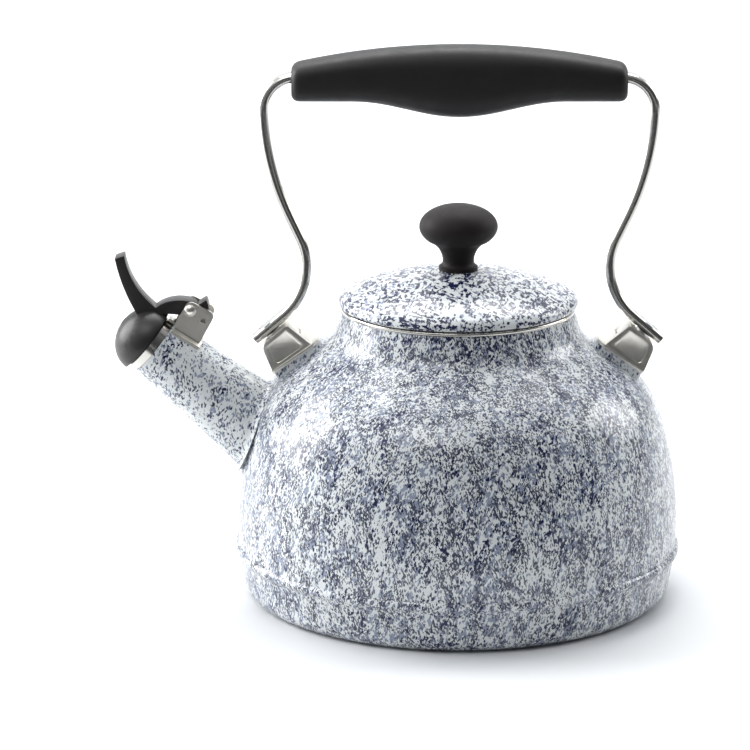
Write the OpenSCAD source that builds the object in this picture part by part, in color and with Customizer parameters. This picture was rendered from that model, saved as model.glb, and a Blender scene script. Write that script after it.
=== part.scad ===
// Stovetop whistling kettle: enamelled steel body and spout, lift-off lid,
// fixed bar handle with a moulded grip, and a sprung whistle cap on the spout.
// Millimetres, +Z up. The origin is on the body's axis, in the plane it stands on.
// The spout points along -X, and the handle stands in the XZ plane.

/* [Body] */
// Largest outer radius of the body
body_r = 83.7; // [78:0.1:104]
// Height of the body's widest place
widest_z = 28.8; // [25:0.1:40]
// Radius of the long curve of the side wall, seen from the side
wall_arc_r = 131; // [110:1:160]
// How far up the side wall's curve runs before the shoulder, in degrees
wall_arc_deg = 18.2; // [15:0.1:20]
// Radius of the shoulder's curve
shoulder_r = 37.8; // [30:0.1:42]
// Slope of the shoulder under the brackets, in degrees below level
shoulder_slope = 35.4; // [32:0.1:40]
// Radius of the hollow flare between shoulder and neck
flare_r = 11.3; // [8:0.1:14]
// Outer radius of the neck at its rim
neck_r = 43.9; // [36:0.1:53]
// Lean of the neck's wall from upright, in degrees
neck_tilt = 17.4; // [8:0.1:20]
// Straight length of the neck above the flare
neck_len = 7.1; // [6:0.1:12]
// Thickness of the enamelled sheet
wall_t = 1.4; // [1.1:0.1:1.8]

/* [Base] */
// Height of the rolled seam that joins the base pan to the body
seam_z = 18.9; // [15:0.1:24]
// Radius of the rolled bead
bead_r = 2.1; // [1.7:0.1:2.6]
// How far the bead stands out past the body's widest place
bead_proud = 1; // [0.5:0.1:1.4]
// Radius of the base pan's bottom corner
base_corner_r = 7; // [5:0.1:10]
// Lean of the base pan's wall from upright, in degrees
base_tilt = 9; // [5:0.5:11]

/* [Neck ring and lid] */
// Height of the steel ring that trims the neck
ring_h = 1.5; // [1.2:0.1:2.5]
// How far the lid's edge stands out past the neck's rim
lid_overhang = 1.3; // [1:0.1:4]
// Height of the lid's crown above its widest place
lid_crown = 12.6; // [9:0.1:15]
// Radius of the lid's rounded edge
lid_edge_r = 4; // [3:0.1:7]
// Length of the steel skirt that plugs into the neck
skirt_len = 9; // [6:0.1:12]
// Gap between the skirt and the neck ring
skirt_gap = 0.8; // [0.5:0.1:1.2]
// Height at which the lid's flange rides over the neck ring
lid_rest_gap = 0.2; // [0.1:0.05:0.3]

/* [Knob] */
// Largest radius of the knob's head
knob_r = 14.8; // [12:0.1:18]
// Half height of the knob's head
knob_half_h = 8.5; // [7:0.1:10]
// Height of the head's middle above the lid
knob_mid_h = 16.4; // [15.5:0.1:20]
// Radius of the knob's foot
knob_foot_r = 7.3; // [6.5:0.1:9]
// Radius of the knob's waist
knob_waist_r = 5.9; // [5:0.1:6.3]

/* [Spout] */
// Rise of the spout above level, in degrees
spout_rise = 39; // [34:0.5:44]
// Height at which the spout's axis leaves the body's wall
spout_root_z = 66.6; // [60:0.1:70]
// Length of the spout from the body's wall to its mouth
spout_len = 49.8; // [44:0.1:62]
// Outer radius of the spout at its mouth
spout_mouth_r = 11.3; // [10.5:0.1:13.6]
// Outer radius of the spout where it meets the body
spout_root_r = 16; // [14:0.1:18]
// Thickness of the spout's wall
spout_wall = 1.3; // [1:0.1:1.6]
// Visible length of the steel collar on the mouth
collar_len = 3; // [2:0.1:5]

/* [Whistle cap] */
// How far the cap's dome stands out past the spout's mouth
cap_overhang = 1.9; // [1.5:0.1:4]
// Height of the cap's dome
cap_h = 11.5; // [10.4:0.1:14]
// Thickness of the cap's moulded wall
cap_wall = 1.6; // [1.2:0.1:2]
// Distance from the collar to the cap's rim
cap_gap = 0.9; // [0.8:0.05:1.5]
// Width of the cap's arm and thumb lever
arm_width = 8.4; // [7:0.1:9]
// Radius of the hinge rivet's shank
rivet_r = 1.2; // [1:0.05:1.4]
// Radial clearance of the cap's knuckles on the rivet
rivet_clear = 0.06; // [0.02:0.01:0.1]
// Height of the rivet above the spout's mouth, square to its axis
hinge_rise = 8.9; // [8.6:0.1:10]
// Distance of the rivet behind the spout's mouth
hinge_back = 4.2; // [3.8:0.1:5]
// Travel of the cap from closed to open, in degrees
cap_travel = 50; // [30:1:50]

/* [Hinge clip] */
// Thickness of the clip's sheet
clip_t = 1; // [0.8:0.1:1.2]
// Gap between the cap's arm and each of the clip's cheeks
arm_clear = 0.4; // [0.3:0.05:0.8]
// Length of a cheek along the spout
cheek_len = 11.5; // [10.5:0.1:12.5]
// Tilt of the clip from the spout's axis, in degrees
clip_tilt = 10.5; // [8:0.5:12]

/* [Handle] */
// Thickness of the steel bar
bar_t = 3.7; // [3:0.1:4.5]
// Width of the steel bar
bar_w = 8; // [6:0.1:10]
// Straight length of the bar over the bracket
bar_foot = 14.4; // [12:0.1:18]
// Radius of the bar's lower bend
bend_low_r = 25; // [20:0.5:30]
// Heading of the bar as it leans out again, in degrees from level
bar_lean = 65; // [62:0.5:70]
// Straight length of the bar above the lower bend
bar_rise = 9.5; // [5:0.5:30]
// Radius of the bar's long bow
bow_r = 102; // [90:1:120]
// Radius of the corner where the bar turns into the grip
corner_r = 12.5; // [10:0.5:16]
// Length of bar held inside the grip
bar_hold = 30; // [22:1:36]
// Half width of the grip
grip_half_w = 10.5; // [9:0.1:13]
// Depth of the finger swell under the grip
grip_swell = 5.9; // [3:0.1:8]

/* [Brackets] */
// Half width of a bracket
bracket_half_w = 8; // [7:0.1:10]
// Height of the enamelled seat above the shoulder
seat_h = 2.2; // [2:0.1:4]
// Height of a bracket above its seat
bracket_h = 12.6; // [11:0.1:14]
// Length of a bracket along the shoulder
bracket_len = 18.6; // [17:0.1:21]
// Thickness of the bracket's sheet
bracket_t = 1; // [0.8:0.1:1.2]
// Radius of the handle screws
screw_r = 2; // [1.5:0.1:2.5]

/* [Hidden] */
$fn = 96;
eps = 0.01;

// ---- shared helpers ----
function polar(r, a) = [r * cos(a), r * sin(a)];
function arc(c, r, a0, a1, n = 12) = [for (i = [0:n]) c + polar(r, a0 + (a1 - a0) * i / n)];
// Centre of the circle through three points
function centre3(a, b, c) =
    let (d = 2 * (a[0] * (b[1] - c[1]) + b[0] * (c[1] - a[1]) + c[0] * (a[1] - b[1])),
        sa = a * a, sb = b * b, sc = c * c)
    [(sa * (b[1] - c[1]) + sb * (c[1] - a[1]) + sc * (a[1] - b[1])) / d,
        (sa * (c[0] - b[0]) + sb * (a[0] - c[0]) + sc * (b[0] - a[0])) / d];
function near_turn(d) = d > 180 ? d - 360 : d < -180 ? d + 360 : d;
// Arc from a through m to b, for arcs of under half a turn
function arc3(a, m, b, n = 10) =
    let (c = centre3(a, m, b), r = norm(a - c),
        a0 = atan2(a[1] - c[1], a[0] - c[0]), a1 = atan2(b[1] - c[1], b[0] - c[0]))
    arc(c, r, a0, a0 + near_turn(a1 - a0), n);
// One rounded corner of an outline
function round_corner(p, q, s, r, n) =
    let (u = (p - q) / norm(p - q), v = (s - q) / norm(s - q),
        half = acos(u * v) / 2, c = q + r / sin(half) * (u + v) / norm(u + v),
        t0 = q + u * r / tan(half) - c, t1 = q + v * r / tan(half) - c,
        a0 = atan2(t0[1], t0[0]))
    arc(c, r, a0, a0 + near_turn(atan2(t1[1], t1[0]) - a0), n);
// Outline whose corners are rounded; each point is [x, y, radius]
function rounded(pts, n = 6) =
    let (k = len(pts))
    [for (i = [0:k - 1])
        let (q = [pts[i][0], pts[i][1]], p = pts[(i + k - 1) % k], s = pts[(i + 1) % k])
        each pts[i][2] > 0
            ? round_corner([p[0], p[1]], q, [s[0], s[1]], pts[i][2], n) : [q]];
module ring(r_out, r_in, h) {
    difference() {
        cylinder(r = r_out, h = h);
        translate([0, 0, -eps]) cylinder(r = r_in, h = h + 2 * eps);
    }
}

// ---- body: places worked out from the driving sizes ----
wall_c = [body_r - wall_arc_r, widest_z];
shoulder_c = wall_c + (wall_arc_r - shoulder_r) * polar(1, wall_arc_deg);
shoulder_end = shoulder_c + polar(shoulder_r, 90 - shoulder_slope);
slope_up = [-cos(shoulder_slope), sin(shoulder_slope)];
slope_out = [sin(shoulder_slope), cos(shoulder_slope)];
flare_x = neck_r + flare_r * cos(neck_tilt) + neck_len * sin(neck_tilt);
slope_len = (shoulder_end[0] + flare_r * slope_out[0] - flare_x) / cos(shoulder_slope);
flare_c = shoulder_end + slope_len * slope_up + flare_r * slope_out;
flare_start = flare_c - flare_r * slope_out;
neck_z = flare_c[1] - flare_r * sin(neck_tilt) + neck_len * cos(neck_tilt);
// Outer line of the body from its widest place to the neck's rim, set in by t
function side_line(t) = concat(
    arc(wall_c, wall_arc_r - t, 0, wall_arc_deg, 10),
    arc(shoulder_c, shoulder_r - t, wall_arc_deg, 90 - shoulder_slope, 14),
    arc(flare_c, flare_r + t, 270 - shoulder_slope, 180 + neck_tilt, 8),
    [[neck_r - t / cos(neck_tilt) + t * tan(neck_tilt), neck_z]]);
seam_r = body_r - 0.3;
bead_c = [body_r + bead_proud - bead_r, seam_z];
flange_t = 1.2;
flange_r = bead_c[0] + 1;

module body_line_2d() {
    polygon(concat([[0, seam_z], [seam_r, seam_z]], side_line(0), [[0, neck_z]]));
}
module body_cavity_2d() {
    polygon(concat([[0, seam_z - 1], [seam_r - wall_t, seam_z - 1]], side_line(wall_t),
        [[neck_r - wall_t, neck_z + 1], [0, neck_z + 1]]));
}
module body_solid() {
    rotate_extrude() body_line_2d();
}
// Rim of the shell, turned out inside the rolled bead
module shell_flange_2d() {
    translate([seam_r - wall_t, seam_z - flange_t / 2])
        square([flange_r - seam_r + wall_t, flange_t]);
}

// ---- spout frame: local +X runs out of the mouth, local +Z lifts off its axis ----
root_x = wall_x(spout_root_z);
// Outer radius of the body at height z, between its widest place and the shoulder's end
function wall_x(z) =
    let (join_z = wall_c[1] + wall_arc_r * sin(wall_arc_deg))
    z < join_z ? wall_c[0] + sqrt(pow(wall_arc_r, 2) - pow(z - wall_c[1], 2))
        : shoulder_c[0] + sqrt(pow(shoulder_r, 2) - pow(z - shoulder_c[1], 2));
mouth = [-root_x - spout_len * cos(spout_rise), spout_root_z + spout_len * sin(spout_rise)];
spout_taper = (spout_root_r - spout_mouth_r) / spout_len;
root_run = 34;
cap_r = spout_mouth_r + cap_overhang;
hinge_p = spout_mouth_r + hinge_rise;
clip_gap = arm_width + 2 * arm_clear;
module at_mouth() {
    translate([mouth[0], 0, mouth[1]]) rotate([0, 0, 180]) rotate([0, -spout_rise, 0]) children();
}
// Cone about the spout's axis, from `from` to `to` behind the mouth, at wall offset t
module spout_cone(from, to, t) {
    at_mouth() translate([-to, 0, 0]) rotate([0, 90, 0])
        cylinder(r1 = spout_mouth_r + spout_taper * to + t,
            r2 = spout_mouth_r + spout_taper * from + t, h = to - from);
}

// ---- body pieces ----
module body_shell() {
    color([0.80, 0.83, 0.90])
    difference() {
        rotate_extrude() difference() {
            union() {
                body_line_2d();
                shell_flange_2d();
            }
            body_cavity_2d();
            translate([-2, 0]) square([2, neck_z * 2]);
        }
        spout_cone(-2, spout_len + root_run, -spout_wall);
    }
}

base_wall_x = seam_r - (seam_z - base_corner_r) * tan(base_tilt);
base_c = [base_wall_x - base_corner_r / cos(base_tilt), base_corner_r];
module base_line_2d(t) {
    polygon(concat([[0, t]], arc(base_c, base_corner_r - t, 270, 360 - base_tilt, 8),
        [[seam_r - t / cos(base_tilt), seam_z], [0, seam_z]]));
}
module base_pan() {
    color([0.78, 0.81, 0.88])
    rotate_extrude() difference() {
        union() {
            difference() {
                base_line_2d(0);
                base_line_2d(wall_t);
                translate([0, wall_t]) square([base_c[0] - base_corner_r, seam_z]);
            }
            difference() {
                translate(bead_c) circle(r = bead_r, $fn = 32);
                body_line_2d();
                base_line_2d(wall_t);
            }
        }
        shell_flange_2d();
    }
}

module spout() {
    color([0.80, 0.83, 0.90])
    difference() {
        spout_cone(collar_len, spout_len + root_run, 0);
        spout_cone(collar_len - 1, spout_len + root_run + 1, -spout_wall);
        body_solid();
    }
}

collar_r = spout_mouth_r - 0.1;
collar_bore = spout_mouth_r - spout_wall - 1;
sleeve_len = 4;
module spout_collar() {
    color([0.75, 0.74, 0.70])
    difference() {
        union() {
            at_mouth() translate([-collar_len, 0, 0]) rotate([0, 90, 0])
                cylinder(r = collar_r, h = collar_len);
            spout_cone(collar_len - eps, collar_len + sleeve_len, -spout_wall);
        }
        at_mouth() translate([-collar_len - sleeve_len - 1, 0, 0]) rotate([0, 90, 0])
            cylinder(r = collar_bore, h = collar_len + sleeve_len + 2);
    }
}

ring_top = neck_z + ring_h;
ring_in = neck_r - wall_t - 0.3;
module neck_ring() {
    color([0.78, 0.77, 0.73])
    rotate_extrude() {
        translate([ring_in + 0.6, neck_z]) square([neck_r - ring_in - 0.4, ring_h - 0.6]);
        translate([ring_in + 0.6, neck_z + ring_h - 0.6]) square([neck_r - ring_in - 0.8, 0.6]);
        translate([ring_in, neck_z - 3]) square([0.3, 3]);
        translate([ring_in, neck_z]) square([0.6, ring_h - 0.3]);
        translate([neck_r - 0.2, neck_z + ring_h / 2]) circle(r = ring_h / 2, $fn = 24);
    }
}

// ---- brackets: local +X runs down the shoulder, +Z stands off it ----
bracket_set = 3.6;
bracket_o = flare_start - bracket_set * slope_up + seat_h * slope_out;
face_top = [3.6, bracket_h];
face_low = [bracket_len - 2.6, bracket_h - 1.2];
face_tilt = atan2(face_low[1] - face_top[1], face_low[0] - face_top[0]);
tongue = 3;
foot_lip = 0.7;
panel_in = 1;
foot_t = 1.2;
module at_bracket(side) {
    mirror([side < 0 ? 1 : 0, 0, 0])
        translate([bracket_o[0], 0, bracket_o[1]]) rotate([0, shoulder_slope, 0]) children();
}
// Side outline of the bracket, set in by t on all sides but its foot
module bracket_side_2d(t) {
    fall = t * 0.35;
    polygon(rounded([[t + fall, 0, 0], [face_top[0] + t, face_top[1] - t, 1.6],
        [face_low[0] - t, face_low[1] - t, 3.4], [bracket_len - t - fall, 0, 0]]));
}
module side_extrude(half_w) {
    rotate([90, 0, 0]) translate([0, 0, -half_w]) linear_extrude(2 * half_w) children();
}
module seat_plan_2d(grow) {
    polygon(rounded([[-tongue - grow, -bracket_half_w + 2 - grow, 3],
        [-tongue - grow, bracket_half_w - 2 + grow, 3],
        [0, bracket_half_w + grow, 2], [bracket_len + grow, bracket_half_w + grow, 1],
        [bracket_len + grow, -bracket_half_w - grow, 1], [0, -bracket_half_w - grow, 2]]));
}
// Place and direction of the handle screw in the bracket's frame
screw_at = face_top + (face_low - face_top) * 0.5;
screw_depth = 9;
module at_screw(side) {
    at_bracket(side) translate([screw_at[0], 0, screw_at[1]]) rotate([0, -face_tilt, 0]) children();
}
module lug(side) {
    core_w = bracket_half_w - foot_lip - panel_in - bracket_t - 0.2;
    difference() {
        union() {
            difference() {
                at_bracket(side) translate([0, 0, -10]) linear_extrude(10) seat_plan_2d(-0.4);
                body_solid();
            }
            at_bracket(side) side_extrude(core_w) bracket_side_2d(bracket_t + 0.05);
        }
        at_screw(side) translate([0, 0, -screw_depth]) cylinder(r = screw_r, h = screw_depth + 1);
    }
}
module bracket(side) {
    difference() {
        at_bracket(side) union() {
            side_extrude(bracket_half_w - foot_lip) bracket_side_2d(0);
            linear_extrude(foot_t) seat_plan_2d(0);
        }
        // hollow under the sheet
        at_bracket(side) translate([0, 0, -eps]) side_extrude(bracket_half_w - foot_lip - panel_in - bracket_t)
            bracket_side_2d(bracket_t);
        // cheek panels, pressed in behind a rim
        for (y = [-1, 1]) at_bracket(side) translate([0, y * (bracket_half_w - foot_lip), 0])
            side_extrude(panel_in) polygon(rounded([[3.3, 2.3, 1.4],
                [face_top[0] + 1.7, face_top[1] - 1.8, 1.4],
                [face_low[0] - 1.7, face_low[1] - 1.6, 3.2], [bracket_len - 2.8, 2.3, 1.6]]));
        // two locating slots in the sloping back
        for (y = [-2.2, 1.4]) at_bracket(side) translate([1.8, y, 6.4])
            rotate([0, -atan2(face_top[1], face_top[0]) + 90, 0]) cube([6, 1.8, 0.8], center = true);
        at_screw(side) translate([0, 0, -4]) cylinder(r = screw_r + 0.2, h = 6);
    }
}
module front_lug() { color([0.70, 0.74, 0.84]) lug(-1); }
module rear_lug() { color([0.70, 0.74, 0.84]) lug(1); }
module front_bracket() { color([0.78, 0.77, 0.72]) bracket(-1); }
module rear_bracket() { color([0.78, 0.77, 0.72]) bracket(1); }

spacer_t = 0.7;
csk_r = 3.6;
module bracket_spacers() {
    color([0.35, 0.35, 0.36])
    for (side = [-1, 1]) at_screw(side) ring(3.8, screw_r + 0.1, spacer_t);
}
module bracket_screws() {
    color([0.70, 0.70, 0.70])
    for (side = [-1, 1]) at_screw(side) {
        translate([0, 0, 0.5 - screw_depth]) cylinder(r = screw_r, h = screw_depth + spacer_t + 1);
        translate([0, 0, spacer_t + bar_t - 2.2])
            cylinder(r1 = screw_r, r2 = csk_r, h = 2);
        translate([0, 0, spacer_t]) cylinder(r = screw_r, h = bar_t - 2);
    }
}

// ---- handle bar: a chain of straights and bends, each state is [x, z, heading] ----
function go(s, d) = [s[0] + d * cos(s[2]), s[1] + d * sin(s[2]), s[2]];
function bend(s, r, h) = let (k = h > s[2] ? r : -r)
    [s[0] - k * sin(s[2]) + k * sin(h), s[1] + k * cos(s[2]) - k * cos(h), h];
function to_world(p) = bracket_o
    + p[0] * [cos(shoulder_slope), -sin(shoulder_slope)] + p[1] * slope_out;
bar_overrun = 1;
bar_start_local = face_low + bar_overrun * polar(1, face_tilt)
    + (spacer_t + bar_t / 2) * polar(1, face_tilt + 90);
bar_start = to_world(bar_start_local);
s0 = [bar_start[0], bar_start[1], 180 - shoulder_slope + face_tilt];
s1 = go(s0, bar_foot);
s2 = bend(s1, bend_low_r, bar_lean);
s3 = go(s2, bar_rise);
bar_upright = 87;
bar_top_run = 2;
s4 = bend(s3, bow_r, bar_upright);
s5 = go(s4, bar_top_run);
s6 = bend(s5, corner_r, 180);
grip_z = s6[1];
grip_end = s6[0] + 2;

// Section of the bar; the bar is a hair fuller in its bends
bend_full = 0.02;
lap = 0.4;
module bar_section(grow) {
    square([bar_t + 2 * grow, bar_w - bar_t], center = true);
    for (y = [-1, 1]) translate([0, y * (bar_w - bar_t) / 2]) circle(r = bar_t / 2 + grow, $fn = 32);
}
module at_state(s) {
    translate([s[0], 0, s[1]]) rotate([0, -s[2], 0]) rotate([90, 0, 0]) children();
}
module bar_straight(s, d, lap_in, lap_out) {
    at_state(s) translate([-lap_in, 0, 0]) rotate([0, 90, 0])
        linear_extrude(d + lap_in + lap_out) rotate(90) bar_section(0);
}
module bar_bend(s, r, h) {
    turn = h - s[2];
    at_state(s) mirror([0, turn < 0 ? 1 : 0, 0]) translate([0, r, 0]) rotate([0, 0, -90])
        rotate_extrude(angle = abs(turn)) translate([r, 0]) bar_section(bend_full);
}
module bar_arm() {
    difference() {
        union() {
            bar_straight(s0, bar_foot, 0, lap);
            bar_bend(s1, bend_low_r, bar_lean);
            bar_straight(s2, bar_rise, lap, lap);
            bar_bend(s3, bow_r, bar_upright);
            bar_straight(s4, bar_top_run, lap, lap);
            bar_bend(s5, corner_r, 180);
            bar_straight(s6, bar_hold, lap, 0);
        }
        at_screw(1) {
            translate([0, 0, spacer_t - 1]) cylinder(r = screw_r + 0.1, h = bar_t + 2);
            translate([0, 0, spacer_t + bar_t - 2.2]) cylinder(r1 = screw_r + 0.1, r2 = csk_r + 0.1, h = 2);
            translate([0, 0, spacer_t + bar_t - 0.21]) cylinder(r = csk_r + 0.1, h = 2);
        }
        translate([grip_screw_x, 0, grip_z - bar_t]) cylinder(r = grip_screw_r, h = 2 * bar_t);
    }
}
module rear_arm() { color([0.74, 0.73, 0.70]) bar_arm(); }
module front_arm() { color([0.74, 0.73, 0.70]) mirror([1, 0, 0]) bar_arm(); }

grip_screw_r = 1.5;
grip_screw_x = s6[0] - bar_hold + 8;
grip_foot = 9;
grip_end_top = 4.9;
grip_rise = 7;
socket_clear = 0.2;
function grip_top(x) = grip_z + grip_end_top + grip_rise * (1 - pow(x / grip_end, 2));
swell_reach = grip_end * 0.63;
function grip_low(x) = grip_z - grip_foot
    - (abs(x) < swell_reach ? grip_swell * pow(cos(90 * x / swell_reach), 2) : 0);
module grip_side_2d() {
    n = 20;
    in = grip_end - 2.5;
    polygon(concat([for (i = [0:n]) let (x = -in + 2 * in * i / n) [x, grip_top(x)]],
        [[grip_end, grip_z + grip_end_top - 2.5], [grip_end, grip_z - grip_foot + 2.5]],
        [for (i = [0:n]) let (x = in - 2 * in * i / n) [x, grip_low(x)]],
        [[-grip_end, grip_z - grip_foot + 2.5], [-grip_end, grip_z + grip_end_top - 2.5]]));
}
module grip_plan_2d() {
    n = 16;
    polygon(concat(
        [for (i = [0:n]) let (x = -grip_end + 2 * grip_end * i / n)
            [x, grip_half_w - 2 * pow(x / grip_end, 2)]],
        [for (i = [0:n]) let (x = grip_end - 2 * grip_end * i / n)
            [x, -grip_half_w + 2 * pow(x / grip_end, 2)]]));
}
module grip() {
    mid_top = grip_top(0);
    mid_low = grip_z - grip_foot - grip_swell;
    color([0.13, 0.13, 0.14])
    difference() {
        intersection() {
            side_extrude(grip_half_w + 2) grip_side_2d();
            translate([0, 0, mid_low - 1]) linear_extrude(mid_top - mid_low + 2) grip_plan_2d();
            translate([-grip_end - 1, 0, 0]) rotate([90, 0, 90]) linear_extrude(2 * grip_end + 2)
                polygon(rounded([[-grip_half_w, mid_low, 9], [grip_half_w, mid_low, 9],
                    [grip_half_w, mid_top, 9], [-grip_half_w, mid_top, 9]], 10));
        }
        for (side = [-1, 1]) {
            translate([side * (grip_end + 1 - (bar_hold + 3.5) / 2), 0, grip_z])
                cube([bar_hold + 3.5, bar_w + 2 * socket_clear, bar_t + 2 * socket_clear], center = true);
            translate([side * grip_screw_x, 0, grip_z - 20]) cylinder(r = grip_screw_r + 0.2, h = 20);
            translate([side * grip_screw_x, 0, grip_z - 30]) cylinder(r = 3.2, h = 24.5);
        }
    }
}
module grip_screws() {
    color([0.70, 0.70, 0.70])
    for (side = [-1, 1]) translate([side * grip_screw_x, 0, grip_z - 5.5]) {
        cylinder(r = grip_screw_r, h = 5.5 + bar_t / 2);
        translate([0, 0, -1.6]) cylinder(r = 2.9, h = 1.6);
    }
}

// ---- lid ----
lid_r = neck_r + lid_overhang;
lid_z = ring_top + 1.3;
lid_top = lid_z + lid_crown;
lid_a = lid_r - lid_edge_r;
crown_r = (lid_a * lid_a + lid_crown * lid_crown - lid_edge_r * lid_edge_r)
    / (2 * (lid_crown - lid_edge_r));
crown_c = [0, lid_top - crown_r];
edge_c = [lid_a, lid_z];
edge_a = atan2(edge_c[1] - crown_c[1], edge_c[0]);
lip = 0.8;
function lid_line(t) = concat(arc(edge_c, lid_edge_r - t, 0, edge_a, 8),
    arc(crown_c, crown_r - t, edge_a, 90, 14));
module lid_solid() {
    rotate_extrude() polygon(concat([[0, lid_z]], lid_line(0)));
}
module lid_dome() {
    color([0.82, 0.85, 0.92])
    difference() {
        rotate_extrude() difference() {
            polygon(concat([[0, lid_z - lip], [lid_r - 0.4, lid_z - lip]], lid_line(0)));
            polygon(concat([[0, lid_z - lip - 1], [lid_r - wall_t, lid_z - lip - 1]],
                lid_line(wall_t)));
        }
        translate([0, 0, lid_z]) cylinder(r = screw_r + 0.1, h = lid_crown + 2);
    }
}
skirt_r = ring_in - skirt_gap;
module lid_skirt() {
    flange_low = ring_top + lid_rest_gap;
    color([0.76, 0.75, 0.72]) {
        translate([0, 0, flange_low]) ring(lid_r - wall_t, skirt_r - 0.8, 0.8);
        translate([0, 0, flange_low - skirt_len]) ring(skirt_r, skirt_r - 0.8, skirt_len + 0.4);
        for (a = [30, 150, 270]) rotate(a) translate([skirt_r - 0.5, 0, flange_low - skirt_len * 0.4])
            sphere(r = 1, $fn = 24);
    }
}

// The knob's waist lies between two hollow curves, one to its foot and one to its head
knob_low = 1.2;
waist_h = 3.2;
head_a = -40;
head_low = [knob_r * cos(head_a), knob_mid_h + knob_half_h * sin(head_a)];
// Radius of a curve that is upright at the waist and runs dx out and dz along
function sweep_r(dx, dz) = (dx * dx + dz * dz) / (2 * dx);
foot_sweep = sweep_r(knob_foot_r - knob_waist_r, waist_h - knob_low);
foot_turn = asin((waist_h - knob_low) / foot_sweep);
neck_sweep = sweep_r(head_low[0] - knob_waist_r, head_low[1] - waist_h);
neck_turn = asin((head_low[1] - waist_h) / neck_sweep);
module lid_knob() {
    color([0.12, 0.11, 0.11])
    difference() {
        translate([0, 0, lid_top]) rotate_extrude() polygon(concat(
            [[0, -1], [knob_foot_r, -1]],
            arc([knob_waist_r + foot_sweep, waist_h], foot_sweep, 180 + foot_turn, 180, 6),
            arc([knob_waist_r + neck_sweep, waist_h], neck_sweep, 180, 180 - neck_turn, 8),
            [for (i = [1:24]) let (a = head_a + (90 - head_a) * i / 24)
                [i == 24 ? 0 : knob_r * cos(a), knob_mid_h + knob_half_h * sin(a)]]));
        lid_solid();
        translate([0, 0, lid_top - 1.5]) cylinder(r = insert_r, h = insert_h + 1.5);
    }
}
insert_r = 3.2;
insert_h = 11;
insert_low = 0.3;
module knob_insert() {
    color([0.78, 0.62, 0.32])
    translate([0, 0, lid_top + insert_low]) ring(insert_r, screw_r, insert_h - insert_low);
}
washer_t = 0.8;
washer_r = 5;
washer_top = crown_c[1] + sqrt(pow(crown_r - wall_t, 2) - pow(washer_r, 2));
module knob_washer() {
    color([0.72, 0.72, 0.72])
    translate([0, 0, washer_top - washer_t]) ring(washer_r, screw_r + 0.1, washer_t);
}
module knob_screw() {
    color([0.70, 0.70, 0.70])
    translate([0, 0, washer_top - washer_t]) {
        translate([0, 0, -2.2]) cylinder(r = 3.8, h = 2.2);
        cylinder(r = screw_r, h = lid_top - washer_top + washer_t + insert_h - 3);
    }
}

// ---- hinge clip on the spout; its own frame has +X running back along the spout ----
module at_clip() {
    at_mouth() translate([-hinge_back, 0, hinge_p]) rotate([0, clip_tilt, 0])
        rotate([0, 0, 180]) children();
}
cheek_front = 2.5;
cheek_top = 3.3;
cheek_drop = 11.5;
cheek_rim = 0.7;
cheek_press = 0.3;
saddle_half_w = clip_gap / 2 + clip_t + 1.8;
saddle_back = 15.5;
module hinge_clip() {
    half = clip_gap / 2 + clip_t;
    color([0.80, 0.79, 0.74])
    difference() {
        union() {
            // cheeks, with the folded web behind them
            at_clip() difference() {
                side_extrude(half) polygon(rounded([[-cheek_front, -cheek_drop, 0],
                    [-cheek_front, cheek_top, 2.6], [cheek_len - cheek_front, cheek_top, 2.2],
                    [cheek_len - cheek_front, -cheek_drop, 0]]));
                translate([-cheek_front - 1, -clip_gap / 2, -cheek_drop - 1])
                    cube([cheek_len + 1 - clip_t, clip_gap, cheek_drop + cheek_top + 2]);
                translate([0, -clip_gap / 2, -1.2]) cube([cheek_len, clip_gap, 6]);
            }
            // saddle on the spout, and the tongue that reaches over the collar
            intersection() {
                spout_cone(collar_len + 0.4, saddle_back, clip_t);
                at_mouth() translate([-30, -saddle_half_w, 2]) cube([40, 2 * saddle_half_w, 20]);
            }
            at_mouth() translate([-collar_len - 2, -3, spout_mouth_r + 0.25])
                cube([collar_len + 1.4, 6, clip_t]);
            // stop tab, folded in from the web
            at_clip() rotate([0, stop_a, 0]) translate([tail_r - 2.4, -clip_gap / 2 - 0.5, -1.1])
                cube([3.2, clip_gap + 1, 0.8]);
        }
        // cheek faces, pressed in behind a rim
        for (y = [-1, 1]) at_clip() translate([0, y * half, 0]) side_extrude(cheek_press)
            polygon(rounded([[-cheek_front + cheek_rim, -cheek_drop, 0],
                [-cheek_front + cheek_rim, cheek_top - cheek_rim, 1.9],
                [cheek_len - cheek_front - cheek_rim, cheek_top - cheek_rim, 1.5],
                [cheek_len - cheek_front - cheek_rim, -cheek_drop, 0]]));
        spout_cone(-1, saddle_back + 5, 0);
        at_mouth() rotate([0, -90, 0]) translate([0, 0, -1]) cylinder(r = collar_r, h = collar_len + 2);
        at_clip() rotate([90, 0, 0]) translate([0, 0, -20]) cylinder(r = rivet_r, h = 40);
        at_clip() translate([6.2, 0, -1.4]) rotate([90, 0, 0])
            translate([0, 0, -20]) rotate(-20) cylinder(r = 1.5, h = 40, $fn = 3);
    }
}
rivet_head_r = 2.35;
rivet_head_h = 1.3;
module hinge_rivet() {
    half = clip_gap / 2 + clip_t;
    ball_r = (rivet_head_r * rivet_head_r + rivet_head_h * rivet_head_h) / (2 * rivet_head_h);
    color([0.80, 0.80, 0.80])
    at_clip() {
        rotate([90, 0, 0]) translate([0, 0, -half]) cylinder(r = rivet_r, h = 2 * half);
        for (y = [-1, 1]) intersection() {
            translate([0, y * (half + rivet_head_h - ball_r), 0]) sphere(r = ball_r);
            translate([0, y * (half + 2), 0]) cube([8, 4, 8], center = true);
        }
    }
}

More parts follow.
